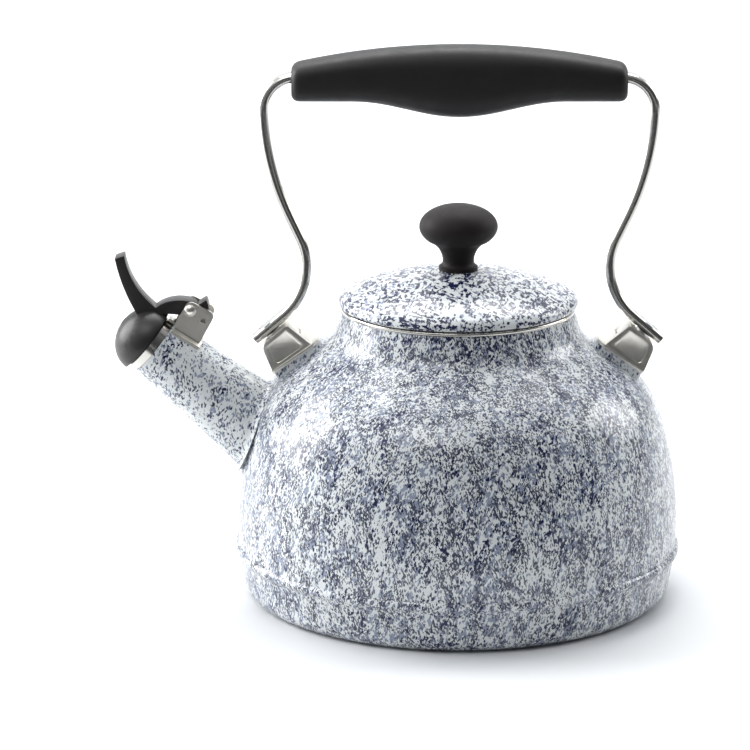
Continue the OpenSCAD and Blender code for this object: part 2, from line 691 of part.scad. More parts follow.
// ---- whistle cap, in the spout frame, closed ----
hub_r = 3.1;
coil_room = 2.75;
coil_clear = 0.4;
tail_a0 = 22;
tail_a1 = 60;
tail_r = cheek_len - clip_t - cheek_front - 1;
stop_a = cap_travel - tail_a0 + 4;
pivot = [-hinge_back, hinge_p];
cap_o = cap_gap;
function dome_line(rr, hh) = [for (i = [0:18]) let (a = 90 * i / 18)
    [i == 18 ? 0 : rr * cos(a), hh * sin(a)]];
module dome_solid(t) {
    translate([cap_o - (t > 0 ? eps : 0), 0, 0]) rotate([0, 90, 0]) rotate_extrude()
        polygon(concat([[0, 0]], dome_line(cap_r - t, cap_h - t)));
}
// Side outline of lever, arch and hub, tied to the rivet and to the dome
module lever_2d() {
    root = [cap_o + cap_h * 0.8, cap_r * 0.46];
    notch = [cap_o + 5.5, cap_r - 0.6];
    tip = [cap_o + cap_h + 17.6, cap_r + 4.5];
    tip_in = tip + [-2, 3.2];
    polygon(concat(
        arc3(root, [cap_o + cap_h + 8.4, cap_r - 2], tip, 10),
        arc3(tip_in, notch + [10.2, 1.6], notch, 10),
        arc3(notch, [2.8, (notch[1] + hinge_p) / 2 + 2.7], pivot + [1.2, hub_r - 0.4], 8),
        [pivot + [-1, 0]],
        arc3(pivot + [0, -hub_r + 0.3], [-0.9, (notch[1] + hinge_p) / 2 - 1.2], [3.2, cap_r - 0.8], 8),
        [[cap_o + 1, cap_r - 2]]));
}
module whistle_cap() {
    color([0.14, 0.14, 0.14])
    at_mouth() difference() {
        union() {
            dome_solid(0);
            side_extrude(arm_width / 2) difference() {
                union() {
                    lever_2d();
                    translate(pivot) circle(r = hub_r, $fn = 40);
                    // tail that swings down to the stop tab
                    translate(pivot) rotate(180 - clip_tilt) polygon(concat([[0, 0]],
                        arc([0, 0], tail_r, -tail_a1, -tail_a0, 4)));
                }
                translate(pivot) circle(r = rivet_r + rivet_clear, $fn = 40);
            }
        }
        dome_solid(cap_wall);
        // room for the spring: closed over by a thin skin above, open below
        coil_half = spring_wire / 2 - spring_y0 + coil_clear;
        translate([-hinge_back, 0, hinge_p]) rotate([0, clip_tilt, 0]) {
            side_extrude(coil_half) circle(r = coil_room, $fn = 40);
            side_extrude(coil_half) intersection() {
                circle(r = hub_r + 0.4, $fn = 40);
                translate([-hub_r - 1, -hub_r - 1]) square([2 * hub_r + 2, hub_r + 1.6]);
            }
        }
        // outlet of the whistle
        rotate([0, 90, 0]) cylinder(r = 1.8, h = cap_h + 10);
        // room for the collar and the seal below the rim
        translate([cap_o - 8, 0, 0]) rotate([0, 90, 0]) cylinder(r = collar_r + 0.8, h = 8);
    }
}
seal_r = collar_r - 0.1;
housing_r = cap_r - cap_wall - 0.9;
seal_gap = 0.2;
module cap_seal() {
    color([0.10, 0.10, 0.11])
    at_mouth() translate([seal_gap, 0, 0]) rotate([0, 90, 0])
        ring(seal_r, collar_bore, cap_gap - seal_gap);
}
housing_l = 4.2;
housing_wall = 0.8;
inlet_r = 5;
module whistle_housing() {
    color([0.70, 0.70, 0.68])
    at_mouth() intersection() {
        dome_solid(cap_wall);
        translate([cap_o, 0, 0]) rotate([0, 90, 0]) difference() {
            cylinder(r = housing_r, h = housing_l);
            translate([0, 0, housing_wall]) cylinder(r = housing_r - housing_wall, h = housing_l);
            translate([0, 0, -1]) cylinder(r = inlet_r, h = housing_l);
        }
    }
}
plate_t = 0.8;
slot_w = 2;
slot_l = 8;
slot_x = 2.6;
module reed_plate() {
    color([0.80, 0.64, 0.30])
    at_mouth() translate([cap_o + housing_l - plate_t, 0, 0]) rotate([0, 90, 0]) difference() {
        cylinder(r = housing_r - housing_wall, h = plate_t);
        for (y = [-1, 1]) translate([-slot_l / 2, y * slot_x - slot_w / 2, -1])
            cube([slot_l, slot_w, plate_t + 2]);
    }
}
reed_t = 0.25;
module reeds() {
    color([0.86, 0.74, 0.42])
    at_mouth() translate([cap_o + housing_l - plate_t - reed_t, 0, 0]) rotate([0, 90, 0])
        for (y = [-1, 1]) translate([-slot_l / 2 - 1.6, y * slot_x - slot_w / 2 + 0.15, 0])
            cube([slot_l + 1.3, slot_w - 0.3, reed_t]);
}

spring_wire = 0.7;
spring_r = 2.1;
spring_pitch = 0.72;
// Depth of the saddle's back under the rivet, at p behind it, in the clip's frame
function saddle_depth(p) =
    (hinge_p + p * sin(clip_tilt) - spout_mouth_r - clip_t - spout_taper * (hinge_back + p * cos(clip_tilt)))
    / (cos(clip_tilt) + spout_taper * sin(clip_tilt));
// The wire: up from the saddle, round the rivet, and back under the cap's tail
leg_touch = 5.6;
leg_under = spring_wire / 2 + 0.06;
leg_end = [leg_touch * cos(tail_a0) + leg_under * sin(tail_a0),
    leg_touch * sin(tail_a0) - leg_under * cos(tail_a0)];
// The coil ends where its tangent runs to the leg's end
coil_end = 720 + 360 + atan2(leg_end[1], leg_end[0]) - acos(spring_r / norm(leg_end));
coil_step = coil_end / 54;
spring_y0 = -coil_end / 720 * spring_pitch;
spring_path = concat(
    [[spring_r, spring_y0, -saddle_depth(spring_r) + 0.1], [spring_r, spring_y0, -1]],
    [for (i = [0:54]) let (a = i * coil_step)
        [spring_r * cos(a), spring_y0 + spring_pitch * a / 360, spring_r * sin(a)]],
    [[leg_end[0], -spring_y0, leg_end[1]]]);
// Tube along a path that lies close to the XZ plane
module wire(path, r, sides = 8) {
    k = len(path);
    dirs = [for (i = [0:k - 1]) let (d = path[min(i + 1, k - 1)] - path[max(i - 1, 0)]) d / norm(d)];
    function rim(i) = let (u = cross(dirs[i], [0, 1, 0]), n = u / norm(u), b = cross(dirs[i], n))
        [for (j = [0:sides - 1]) let (a = 360 * j / sides) path[i] + r * (cos(a) * n + sin(a) * b)];
    polyhedron([for (i = [0:k - 1]) each rim(i)], concat(
        [[for (j = [0:sides - 1]) j]],
        [for (i = [0:k - 2], j = [0:sides - 1]) let (j2 = (j + 1) % sides)
            each [[i * sides + j, (i + 1) * sides + j, (i + 1) * sides + j2],
                [i * sides + j, (i + 1) * sides + j2, i * sides + j2]]],
        [[for (j = [sides - 1:-1:0]) (k - 1) * sides + j]]));
}
module cap_spring() {
    color([0.60, 0.60, 0.62])
    at_clip() wire(spring_path, spring_wire / 2);
}

body_shell();
base_pan();
spout();
spout_collar();
neck_ring();
front_lug();
rear_lug();
front_bracket();
rear_bracket();
bracket_spacers();
bracket_screws();
front_arm();
rear_arm();
grip();
grip_screws();
lid_dome();
lid_skirt();
lid_knob();
knob_insert();
knob_screw();
knob_washer();
hinge_clip();
hinge_rivet();
cap_spring();
whistle_cap();
cap_seal();
whistle_housing();
reed_plate();
reeds();
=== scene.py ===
import math

import bpy
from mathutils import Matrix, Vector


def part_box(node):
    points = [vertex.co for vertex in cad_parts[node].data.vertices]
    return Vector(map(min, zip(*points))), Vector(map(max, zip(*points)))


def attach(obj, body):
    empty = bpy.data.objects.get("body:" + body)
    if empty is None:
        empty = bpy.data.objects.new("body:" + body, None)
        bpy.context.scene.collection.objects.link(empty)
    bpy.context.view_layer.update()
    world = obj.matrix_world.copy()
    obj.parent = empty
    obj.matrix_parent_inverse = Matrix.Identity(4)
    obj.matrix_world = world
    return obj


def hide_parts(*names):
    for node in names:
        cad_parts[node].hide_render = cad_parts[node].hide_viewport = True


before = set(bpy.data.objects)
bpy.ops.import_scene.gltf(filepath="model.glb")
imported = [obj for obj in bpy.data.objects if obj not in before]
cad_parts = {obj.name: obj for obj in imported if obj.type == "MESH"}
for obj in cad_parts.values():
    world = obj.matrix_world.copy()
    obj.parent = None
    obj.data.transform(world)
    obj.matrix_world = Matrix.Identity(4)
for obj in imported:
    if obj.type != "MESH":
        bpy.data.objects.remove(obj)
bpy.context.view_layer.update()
MM = 0.001

# ---- Camera, lights and floor ----
# A plain pale sweep under soft studio light: softboxes on the spout's side, behind and above, and on
# the far side, a weak fill in front and one that lights the sweep. Three dark cards, hidden from the
# camera, give the polished steel and the low body something to reflect.
camera_place = (-31.35 * MM, -1500 * MM, 480.46 * MM)
camera_tilt = 75.214
camera_data = bpy.data.cameras.new("camera")
camera_data.lens = 196.51
camera_data.sensor_width = 36
camera = bpy.data.objects.new("camera", camera_data)
camera.location = camera_place
camera.rotation_euler = (math.radians(camera_tilt), 0, 0)
bpy.context.scene.collection.objects.link(camera)
bpy.context.scene.camera = camera


def fresh():
    """Object mode with nothing selected."""
    if bpy.context.object and bpy.context.object.mode != "OBJECT":
        bpy.ops.object.mode_set(mode="OBJECT")
    bpy.ops.object.select_all(action="DESELECT")


def material(name):
    """A new material, its node tree and its shader."""
    mat = bpy.data.materials.new(name)
    mat.use_nodes = True
    tree = mat.node_tree
    return mat, tree, tree.nodes["Principled BSDF"]


# Where a Mix node keeps its colour sockets.
MIX_A, MIX_B, MIX_OUT = 6, 7, 2


def node(tree, kind, place=(0, 0), **settings):
    """A new shader node; each setting goes to the input of that name, or else to the node itself."""
    made = tree.nodes.new(kind)
    made.location = place
    for key, value in settings.items():
        if key in made.inputs:
            made.inputs[key].default_value = value
        else:
            setattr(made, key, value)
    return made


def softbox(name, place, aim, width, height, watts):
    """A rectangular area light at place that faces aim."""
    data = bpy.data.lights.new(name, "AREA")
    data.shape = "RECTANGLE"
    data.size = width
    data.size_y = height
    data.energy = watts
    light = bpy.data.objects.new(name, data)
    light.location = place
    direction = [a - b for a, b in zip(aim, place)]
    across = math.hypot(direction[0], direction[1])
    light.rotation_euler = (math.atan2(across, -direction[2]), 0, math.atan2(-direction[0], direction[1]))
    bpy.context.scene.collection.objects.link(light)


softbox("key", (-1.15, 0.35, 0.55), (0, 0, 0.09), 0.9, 0.9, 20)
softbox("top", (0.0, 0.55, 1.15), (0, 0, 0.1), 1.3, 0.7, 17)
softbox("rim", (1.2, 0.5, 0.7), (0, 0, 0.1), 0.7, 0.7, 7)
softbox("fill", (-0.45, -0.75, 1.35), (0, 0, 0.11), 0.9, 0.6, 5)
softbox("sweep", (0.0, 1.6, 1.6), (0, 3.2, 0.4), 3.0, 1.0, 90)

# The room is bright behind and above the kettle and dim behind the camera.
world = bpy.data.worlds.new("studio")
world.use_nodes = True
tree = world.node_tree
where = node(tree, "ShaderNodeTexCoord", (-900, 0))
lean_to = node(tree, "ShaderNodeVectorMath", (-700, 0), operation="DOT_PRODUCT")
lean_to.inputs[1].default_value = (-0.42, 0.74, 0.52)
tree.links.new(where.outputs["Generated"], lean_to.inputs[0])
glow = node(tree, "ShaderNodeMapRange", (-500, 0), interpolation_type="SMOOTHSTEP")
glow.inputs["From Min"].default_value = -0.75
glow.inputs["From Max"].default_value = 0.85
glow.inputs["To Min"].default_value = 0.07
glow.inputs["To Max"].default_value = 1.05
tree.links.new(lean_to.outputs["Value"], glow.inputs["Value"])
tree.links.new(glow.outputs[0], tree.nodes["Background"].inputs["Strength"])
tree.nodes["Background"].inputs["Color"].default_value = (0.90, 0.93, 0.96, 1)
bpy.context.scene.world = world
bpy.context.scene.view_settings.view_transform = "Standard"


fresh()
bpy.ops.mesh.primitive_plane_add(size=8, location=(0, 0, 0))
floor = bpy.context.object
floor.name = "floor"
bpy.ops.object.mode_set(mode="EDIT")
bpy.ops.mesh.select_all(action="DESELECT")
bpy.ops.object.mode_set(mode="OBJECT")
for edge in floor.data.edges:
    edge.select = all(floor.data.vertices[v].co.y > 3.9 for v in edge.vertices)
bpy.ops.object.mode_set(mode="EDIT")
bpy.ops.mesh.select_mode(type="EDGE")
bpy.ops.mesh.extrude_edges_move(TRANSFORM_OT_translate={"value": (0, 0, 4)})
bpy.ops.object.mode_set(mode="OBJECT")
for edge in floor.data.edges:
    edge.select = all(v.co.y > 3.9 and v.co.z < 0.1 for v in (floor.data.vertices[i] for i in edge.vertices))
bpy.ops.object.mode_set(mode="EDIT")
bpy.ops.mesh.bevel(offset=1.5, segments=16)
fresh()
floor.select_set(True)
bpy.ops.object.shade_smooth()
floor_mat, tree, shader = material("pale_floor")
shader.inputs["Base Color"].default_value = (0.72, 0.73, 0.74, 1)
shader.inputs["Roughness"].default_value = 0.5
floor.data.materials.append(floor_mat)

dark_mat, tree, shader = material("flag_cloth")
shader.inputs["Base Color"].default_value = (0.015, 0.015, 0.017, 1)
shader.inputs["Roughness"].default_value = 0.9


def dark_card(name, place, wide, tall, upright):
    """A dark card that the camera doesn't see. Upright, it faces the kettle and casts no shadow."""
    fresh()
    bpy.ops.mesh.primitive_plane_add(size=1, location=place)
    card = bpy.context.object
    card.name = name
    card.dimensions = (wide, tall, 0)
    card.visible_camera = False
    if upright:
        card.rotation_euler = (math.radians(90), 0, math.atan2(place[0], -place[1]))
        card.visible_shadow = False
    card.data.materials.append(dark_mat)
    return card


flags = [
    dark_card("flag_right", (0.75, -0.55, 0.5), 0.22, 0.9, True),
    dark_card("flag_left", (-0.42, -1.0, 0.5), 0.12, 0.9, True),
    dark_card("flag_low", (0, -0.78, 0.002), 1.7, 1.1, False),
]

# ---- Enamelled body shell ----
# The pot's side, shoulder and neck, deep-drawn in one piece from thin steel and coated inside and out
# with vitreous enamel: a white ground under grey-blue, slate and navy flecks, fired glossy.
body_r = 83.7 * MM
widest_z = 28.8 * MM
wall_arc_r = 131 * MM
wall_arc_deg = 18.2
shoulder_r = 37.8 * MM
slope_deg = 35.4
flare_r = 11.3 * MM
neck_r = 43.9 * MM
neck_tilt = 17.4
neck_len = 7.1 * MM
sheet = 1.4 * MM
seam_z = 18.9 * MM
shell_inset = 0.3 * MM


def polar(centre, radius, degrees):
    angle = math.radians(degrees)
    return (centre[0] + radius * math.cos(angle), centre[1] + radius * math.sin(angle))


def arc(centre, radius, start, end, steps):
    return [polar(centre, radius, start + (end - start) * i / steps) for i in range(steps + 1)]


wall_c = (body_r - wall_arc_r, widest_z)
shoulder_c = polar(wall_c, wall_arc_r - shoulder_r, wall_arc_deg)
shoulder_end = polar(shoulder_c, shoulder_r, 90 - slope_deg)
slope_sin = math.sin(math.radians(slope_deg))
slope_cos = math.cos(math.radians(slope_deg))
tilt_sin = math.sin(math.radians(neck_tilt))
tilt_cos = math.cos(math.radians(neck_tilt))
slope_run = shoulder_end[0] + flare_r * slope_sin - neck_r - flare_r * tilt_cos - neck_len * tilt_sin
slope_len = slope_run / slope_cos
flare_c = (
    shoulder_end[0] - slope_len * slope_cos + flare_r * slope_sin,
    shoulder_end[1] + slope_len * slope_sin + flare_r * slope_cos,
)
neck_z = flare_c[1] - flare_r * tilt_sin + neck_len * tilt_cos


def side_line(inset):
    """Outline of the side from its widest place to the rim of the neck, set in by inset."""
    return (
        arc(wall_c, wall_arc_r - inset, 0, wall_arc_deg, 14)
        + arc(shoulder_c, shoulder_r - inset, wall_arc_deg, 90 - slope_deg, 18)[1:]
        + arc(flare_c, flare_r + inset, 270 - slope_deg, 180 + neck_tilt, 12)
        + [(neck_r - inset, neck_z)]
    )


# Stands in for a radius of zero on the axis, which a ring can't be scaled up from.
axis_r = 1e-5


def turn(name, profile, segments=160):
    """A round piece spun up from its profile of (radius, height), ring by ring."""
    fresh()
    radius, height = max(profile[0][0], axis_r), profile[0][1]
    bpy.ops.mesh.primitive_circle_add(vertices=segments, radius=radius, location=(0, 0, height))
    piece = bpy.context.object
    piece.name = name
    bpy.ops.object.mode_set(mode="EDIT")
    bpy.ops.mesh.select_all(action="SELECT")
    for r, z in profile[1:]:
        r = max(r, axis_r)
        bpy.ops.mesh.extrude_edges_move(TRANSFORM_OT_translate={"value": (0, 0, z - height)})
        bpy.ops.transform.resize(value=(r / radius, r / radius, 1), center_override=(0, 0, z))
        radius, height = r, z
    bpy.ops.mesh.select_all(action="SELECT")
    bpy.ops.mesh.remove_doubles(threshold=2e-5)
    bpy.ops.mesh.select_all(action="SELECT")
    bpy.ops.mesh.normals_make_consistent(inside=False)
    fresh()
    piece.select_set(True)
    bpy.ops.object.transform_apply(location=True, rotation=True, scale=True)
    bpy.ops.object.shade_smooth_by_angle(angle=math.radians(35))
    return piece


def flecks_group():
    """Shader group that masks angular flecks: Cells of them to a metre, the part Share of them filled,
    edges broken by Ragged, and the share varied from place to place by Patchy."""
    tree = bpy.data.node_groups.new("Enamel flecks", "ShaderNodeTree")
    face = tree.interface
    face.new_socket("Vector", in_out="INPUT", socket_type="NodeSocketVector")
    for label, value in (("Cells", 1000.0), ("Share", 0.3), ("Ragged", 0.5), ("Patchy", 0.15)):
        face.new_socket(label, in_out="INPUT", socket_type="NodeSocketFloat").default_value = value
    face.new_socket("Mask", in_out="OUTPUT", socket_type="NodeSocketFloat")
    links = tree.links
    given = node(tree, "NodeGroupInput", (-1000, 0))
    scaled = node(tree, "ShaderNodeVectorMath", (-800, 0), operation="SCALE")
    links.new(given.outputs["Vector"], scaled.inputs[0])
    links.new(given.outputs["Cells"], scaled.inputs["Scale"])
    wobble = node(tree, "ShaderNodeTexNoise", (-600, -160), Scale=1.6, Detail=2.0, Roughness=0.6)
    links.new(scaled.outputs[0], wobble.inputs["Vector"])
    centred = node(tree, "ShaderNodeVectorMath", (-420, -160), operation="SUBTRACT")
    centred.inputs[1].default_value = (0.5, 0.5, 0.5)
    links.new(wobble.outputs["Color"], centred.inputs[0])
    pushed = node(tree, "ShaderNodeVectorMath", (-260, -160), operation="SCALE")
    links.new(centred.outputs[0], pushed.inputs[0])
    links.new(given.outputs["Ragged"], pushed.inputs["Scale"])
    moved = node(tree, "ShaderNodeVectorMath", (-100, 0), operation="ADD")
    links.new(scaled.outputs[0], moved.inputs[0])
    links.new(pushed.outputs[0], moved.inputs[1])
    cells = node(tree, "ShaderNodeTexVoronoi", (80, 0), Scale=1.0, Randomness=1.0)
    links.new(moved.outputs[0], cells.inputs["Vector"])
    split = node(tree, "ShaderNodeSeparateColor", (260, 0))
    links.new(cells.outputs["Color"], split.inputs["Color"])
    patches = node(tree, "ShaderNodeTexNoise", (-100, -380), Scale=0.09, Detail=2.0, Roughness=0.5)
    links.new(scaled.outputs[0], patches.inputs["Vector"])
    patch_mid = node(tree, "ShaderNodeMath", (80, -380), operation="SUBTRACT")
    patch_mid.inputs[1].default_value = 0.5
    links.new(patches.outputs["Fac"], patch_mid.inputs[0])
    patch_gain = node(tree, "ShaderNodeMath", (260, -380), operation="MULTIPLY")
    links.new(patch_mid.outputs[0], patch_gain.inputs[0])
    links.new(given.outputs["Patchy"], patch_gain.inputs[1])
    share = node(tree, "ShaderNodeMath", (440, -260), operation="ADD")
    links.new(given.outputs["Share"], share.inputs[0])
    links.new(patch_gain.outputs[0], share.inputs[1])
    filled = node(tree, "ShaderNodeMath", (620, 0), operation="LESS_THAN")
    links.new(split.outputs[0], filled.inputs[0])
    links.new(share.outputs[0], filled.inputs[1])
    result = node(tree, "NodeGroupOutput", (800, 0))
    links.new(filled.outputs[0], result.inputs["Mask"])
    return tree


fleck_tree = flecks_group()


def enamel(name, strokes, ragged=0.9, patchy=0.6):
    """Speckled enamel: each stroke is (stretch, lean in degrees, fleck width, share covered, colour)."""
    mat, tree, shader = material(name)
    links = tree.links
    where = node(tree, "ShaderNodeTexCoord", (-1600, 0))
    below = None
    for i, (stretch, lean, width, share, colour) in enumerate(strokes):
        mapping = node(tree, "ShaderNodeMapping", (-1300, -260 * i), vector_type="TEXTURE")
        mapping.inputs["Location"].default_value = (0.013 * i, 0.021 * i, 0.037 * i)
        mapping.inputs["Rotation"].default_value = [math.radians(a) for a in lean]
        mapping.inputs["Scale"].default_value = stretch
        links.new(where.outputs["Object"], mapping.inputs["Vector"])
        layer = node(tree, "ShaderNodeGroup", (-1050, -260 * i), node_tree=fleck_tree)
        layer.inputs["Cells"].default_value = 1 / width
        layer.inputs["Share"].default_value = share
        layer.inputs["Ragged"].default_value = ragged
        layer.inputs["Patchy"].default_value = patchy
        links.new(mapping.outputs[0], layer.inputs["Vector"])
        laid = node(tree, "ShaderNodeMix", (-800 + 180 * i, -260 * i), data_type="RGBA")
        laid.inputs[MIX_A].default_value = (*ENAMEL_WHITE, 1)
        laid.inputs[MIX_B].default_value = (*colour, 1)
        links.new(layer.outputs[0], laid.inputs[0])
        if below:
            links.new(below.outputs[MIX_OUT], laid.inputs[MIX_A])
        below = laid
    links.new(below.outputs[MIX_OUT], shader.inputs["Base Color"])
    ripple = node(tree, "ShaderNodeTexNoise", (-650, 300), Scale=240.0, Detail=2.0)
    links.new(where.outputs["Object"], ripple.inputs["Vector"])
    bump = node(tree, "ShaderNodeBump", (-250, 500), Strength=0.12, Distance=0.0006)
    links.new(ripple.outputs["Fac"], bump.inputs["Height"])
    links.new(bump.outputs[0], shader.inputs["Normal"])
    rough = node(tree, "ShaderNodeMapRange", (-250, 300))
    rough.inputs["To Min"].default_value = 0.20
    rough.inputs["To Max"].default_value = 0.34
    links.new(ripple.outputs["Fac"], rough.inputs["Value"])
    links.new(rough.outputs[0], shader.inputs["Roughness"])
    shader.inputs["IOR"].default_value = 1.5
    shader.inputs["Coat Weight"].default_value = 0.2
    shader.inputs["Coat Roughness"].default_value = 0.08
    return mat


ENAMEL_WHITE = (0.70, 0.73, 0.74)
GREY_BLUE = (0.26, 0.295, 0.39)
SLATE = (0.055, 0.062, 0.095)
NAVY = (0.010, 0.014, 0.060)
body_enamel = enamel(
    "enamel_body",
    [
        ((1, 1, 2.2), (8, 14, 0), 0.75 * MM, 0.32, GREY_BLUE),
        ((1, 1, 2.6), (-6, -16, 0), 0.40 * MM, 0.24, SLATE),
        ((1, 1, 2.6), (5, 22, 0), 0.36 * MM, 0.14, SLATE),
        ((1, 1, 1.8), (-8, 10, 0), 0.70 * MM, 0.05, NAVY),
    ],
    patchy=1.5,
)
outer = [(body_r - shell_inset, seam_z)] + side_line(0)
inner = [(neck_r - sheet, neck_z)] + side_line(sheet)[::-1][1:] + [(body_r - shell_inset - sheet, seam_z)]
body_shell = turn("body_shell_enamelled", outer + inner + [outer[0]])
body_shell.data.materials.append(body_enamel)
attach(body_shell, "kettle")
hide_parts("body_shell")

# ---- Base pan ----
# A shallow enamelled pan whose rim is turned up outside the shell and rolled into a bead,
# then fired over, so that the speckle runs across the seam.
bead_r = 2.1 * MM
bead_c = (body_r + 1.0 * MM - bead_r, seam_z)
corner_r = 7 * MM
lean = 9
lean_tan = math.tan(math.radians(lean))
bead_foot = 3.2 * MM
wall_foot = body_r - shell_inset - (seam_z - corner_r) * lean_tan
corner_c = (wall_foot - corner_r / math.cos(math.radians(lean)), corner_r)
pan_line = (
    [(0, 0), (30 * MM, 0), (60 * MM, 0)]
    + arc(corner_c, corner_r, 270, 360 - lean, 14)
    + [(wall_foot + (seam_z - corner_r - bead_foot) * lean_tan, seam_z - bead_foot)]
    + arc(bead_c, bead_r, -62, 68, 12)
    + [
        (body_r - 0.9 * MM, seam_z + 2.0 * MM),
        (body_r - 2.2 * MM, seam_z + 0.3 * MM),
        (body_r - 3.2 * MM, seam_z - 4 * MM),
        (corner_c[0] + corner_r - sheet, corner_r),
    ]
    + arc(corner_c, corner_r - sheet, -12, -90, 8)
    + [(0, sheet)]
)
base_pan = turn("base_pan_rolled", pan_line)
base_pan.data.materials.append(body_enamel)
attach(base_pan, "kettle")
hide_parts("base_pan")

# ---- Spout ----
# A tapered enamelled tube welded into the shoulder. The weld is ground to a small hollow fillet
# before the enamel goes on, and the mouth is trimmed with a steel collar.
rise = math.radians(39)
root_z = 66.6 * MM
spout_len = 49.8 * MM
mouth_r = 11.3 * MM
root_r = 16 * MM
spout_wall = 1.3 * MM
collar_len = 3 * MM


def side_radius(z):
    """Outer radius of the body at height z."""
    if z < widest_z + wall_arc_r * math.sin(math.radians(wall_arc_deg)):
        return wall_c[0] + math.sqrt(wall_arc_r**2 - (z - wall_c[1]) ** 2)
    if z < shoulder_end[1]:
        return shoulder_c[0] + math.sqrt(shoulder_r**2 - (z - shoulder_c[1]) ** 2)
    return shoulder_end[0] - (z - shoulder_end[1]) / math.tan(math.radians(slope_deg))


root_x = side_radius(root_z)
mouth = (-root_x - spout_len * math.cos(rise), root_z + spout_len * math.sin(rise))
taper = (root_r - mouth_r) / spout_len


def from_spout(back, side, up):
    """A place given behind the mouth, across, and off the spout's axis, in the shared frame."""
    return (
        mouth[0] + back * math.cos(rise) + up * math.sin(rise),
        side,
        mouth[1] - back * math.sin(rise) + up * math.cos(rise),
    )


def reach(angle, radius):
    """How far behind the mouth a line along the spout meets the body."""
    low, high = 20 * MM, 90 * MM
    for _ in range(40):
        back = (low + high) / 2
        x, y, z = from_spout(back, radius * math.sin(angle), radius * math.cos(angle))
        if math.hypot(x, y) > side_radius(z):
            low = back
        else:
            high = back
    return back


around = 96
rings = 12
fillet = 3.2 * MM
fillet_rings = 8
fillet_spread = 0.8
fillet_sink = 0.15 * MM
tube_over = 1 * MM
# The spout's radius 44 mm behind the mouth, about where it meets the body.
meeting_r = mouth_r + taper * 44 * MM
fresh()
bpy.ops.mesh.primitive_circle_add(vertices=around, radius=mouth_r)
spout = bpy.context.object
spout.name = "spout_welded"
bpy.ops.object.mode_set(mode="EDIT")
bpy.ops.mesh.select_all(action="SELECT")
# The rings are only made here; the loop below gives each its place.
for _ in range(rings + fillet_rings + 2):
    bpy.ops.mesh.extrude_edges_move(TRANSFORM_OT_translate={"value": (0, 0, -3 * MM)})
fresh()
for i, vertex in enumerate(spout.data.vertices):
    ring, step = divmod(i, around)
    angle = 2 * math.pi * step / around
    end = reach(angle, meeting_r)
    if ring <= rings:
        back = collar_len + (end - fillet - collar_len) * ring / rings
        radius = mouth_r + taper * back
    elif ring <= rings + fillet_rings:
        bow = math.radians(90 * (ring - rings) / fillet_rings)
        back = end - fillet + fillet * math.sin(bow)
        radius = mouth_r + taper * back + fillet * fillet_spread * (1 - math.cos(bow))
        back = min(back, reach(angle, radius) + fillet_sink)
    else:
        back = end + tube_over if ring == rings + fillet_rings + 1 else collar_len
        radius = mouth_r - spout_wall + taper * back
    vertex.co = from_spout(back, radius * math.sin(angle), radius * math.cos(angle))
spout.select_set(True)
bpy.context.view_layer.objects.active = spout
bpy.ops.object.mode_set(mode="EDIT")
bpy.ops.mesh.select_all(action="SELECT")
bpy.ops.mesh.normals_make_consistent(inside=False)
fresh()
spout.select_set(True)
bpy.ops.object.shade_smooth_by_angle(angle=math.radians(50))
spout_enamel = enamel(
    "enamel_spout",
    [
        ((1, 1, 2.0), (8, 20, 0), 0.85 * MM, 0.17, GREY_BLUE),
        ((1, 1, 2.4), (-6, -10, 0), 0.45 * MM, 0.13, SLATE),
        ((1, 1, 2.2), (5, 30, 0), 0.60 * MM, 0.06, NAVY),
    ],
    patchy=1.0,
)
spout.data.materials.append(spout_enamel)
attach(spout, "kettle")
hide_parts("spout")

# ---- Lid ----
# A shallow enamelled dome with a rolled edge. Its flecks are coarser than the body's,
# in shards about two millimetres long.
lid_r = 45.2 * MM
ring_h = 1.5 * MM
lid_over_ring = 1.3 * MM
lid_z = neck_z + ring_h + lid_over_ring
lid_crown = 12.6 * MM
edge_r = 4 * MM
rim_low = 0.6 * MM
edge_x = lid_r - edge_r
crown_r = (edge_x**2 + lid_crown**2 - edge_r**2) / (2 * (lid_crown - edge_r))
crown_c = (0, lid_z + lid_crown - crown_r)
edge_c = (edge_x, lid_z)
edge_deg = math.degrees(math.atan2(edge_c[1] - crown_c[1], edge_c[0]))
lid_line = (
    [
        (lid_r - sheet, lid_z - rim_low),
        (lid_r - 0.9 * MM, lid_z - 0.8 * MM),
        (lid_r - 0.25 * MM, lid_z - rim_low),
    ]
    + arc(edge_c, edge_r, 0, edge_deg, 12)
    + arc(crown_c, crown_r, edge_deg, 90, 16)[1:]
    + arc(crown_c, crown_r - sheet, 90, edge_deg, 16)
    + arc(edge_c, edge_r - sheet, edge_deg, 0, 8)[1:]
    + [(lid_r - sheet, lid_z - rim_low)]
)
lid = turn("lid_dome_enamelled", lid_line)
lid_enamel = enamel(
    "enamel_lid",
    [
        ((1, 2.0, 1), (0, 0, 25), 1.0 * MM, 0.17, GREY_BLUE),
        ((1, 3.2, 1), (0, 0, -16), 0.74 * MM, 0.24, NAVY),
        ((2.8, 1, 1), (0, 0, -35), 0.70 * MM, 0.14, NAVY),
        ((1, 2.2, 1), (0, 0, 12), 1.15 * MM, 0.09, NAVY),
    ],
    ragged=1.1,
    patchy=0.5,
)
lid.data.materials.append(lid_enamel)
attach(lid, "lid")
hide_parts("lid_dome")

# ---- Lid knob ----
# A mushroom knob moulded in brown-black heat-proof plastic on a brass insert, waisted above
# a small foot, with a soft satin skin that shows faint rub marks.
knob_r = 14.8 * MM
knob_half = 8.5 * MM
knob_mid = 16.4 * MM
foot_r = 7.3 * MM
waist_r = 5.9 * MM
lid_top = lid_z + lid_crown


